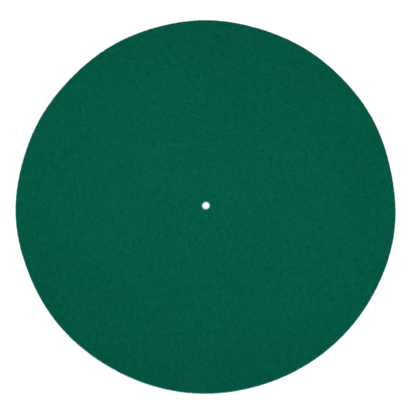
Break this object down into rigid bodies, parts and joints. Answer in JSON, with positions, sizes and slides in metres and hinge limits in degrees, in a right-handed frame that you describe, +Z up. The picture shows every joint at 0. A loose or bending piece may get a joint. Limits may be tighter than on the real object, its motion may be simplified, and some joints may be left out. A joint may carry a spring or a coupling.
{
  "type": "turntable platter mat",
  "caption": "Flat round mat of dense green felt with a small central spindle hole, laid on a record player's platter to cushion and grip the record.",
  "frame": {"origin": "on the spindle axis, at the underside that lies on the platter", "axes": "+Z up out of the face that carries the record; +X to the right and +Y away from the viewer in the picture"},
  "size_m": [0.3009, 0.3008, 0.002],
  "materials": {
    "felt": "matte"
  },
  "bodies": {
    "root": {"platter_mat": "felt"}
  },
  "joints": []
}
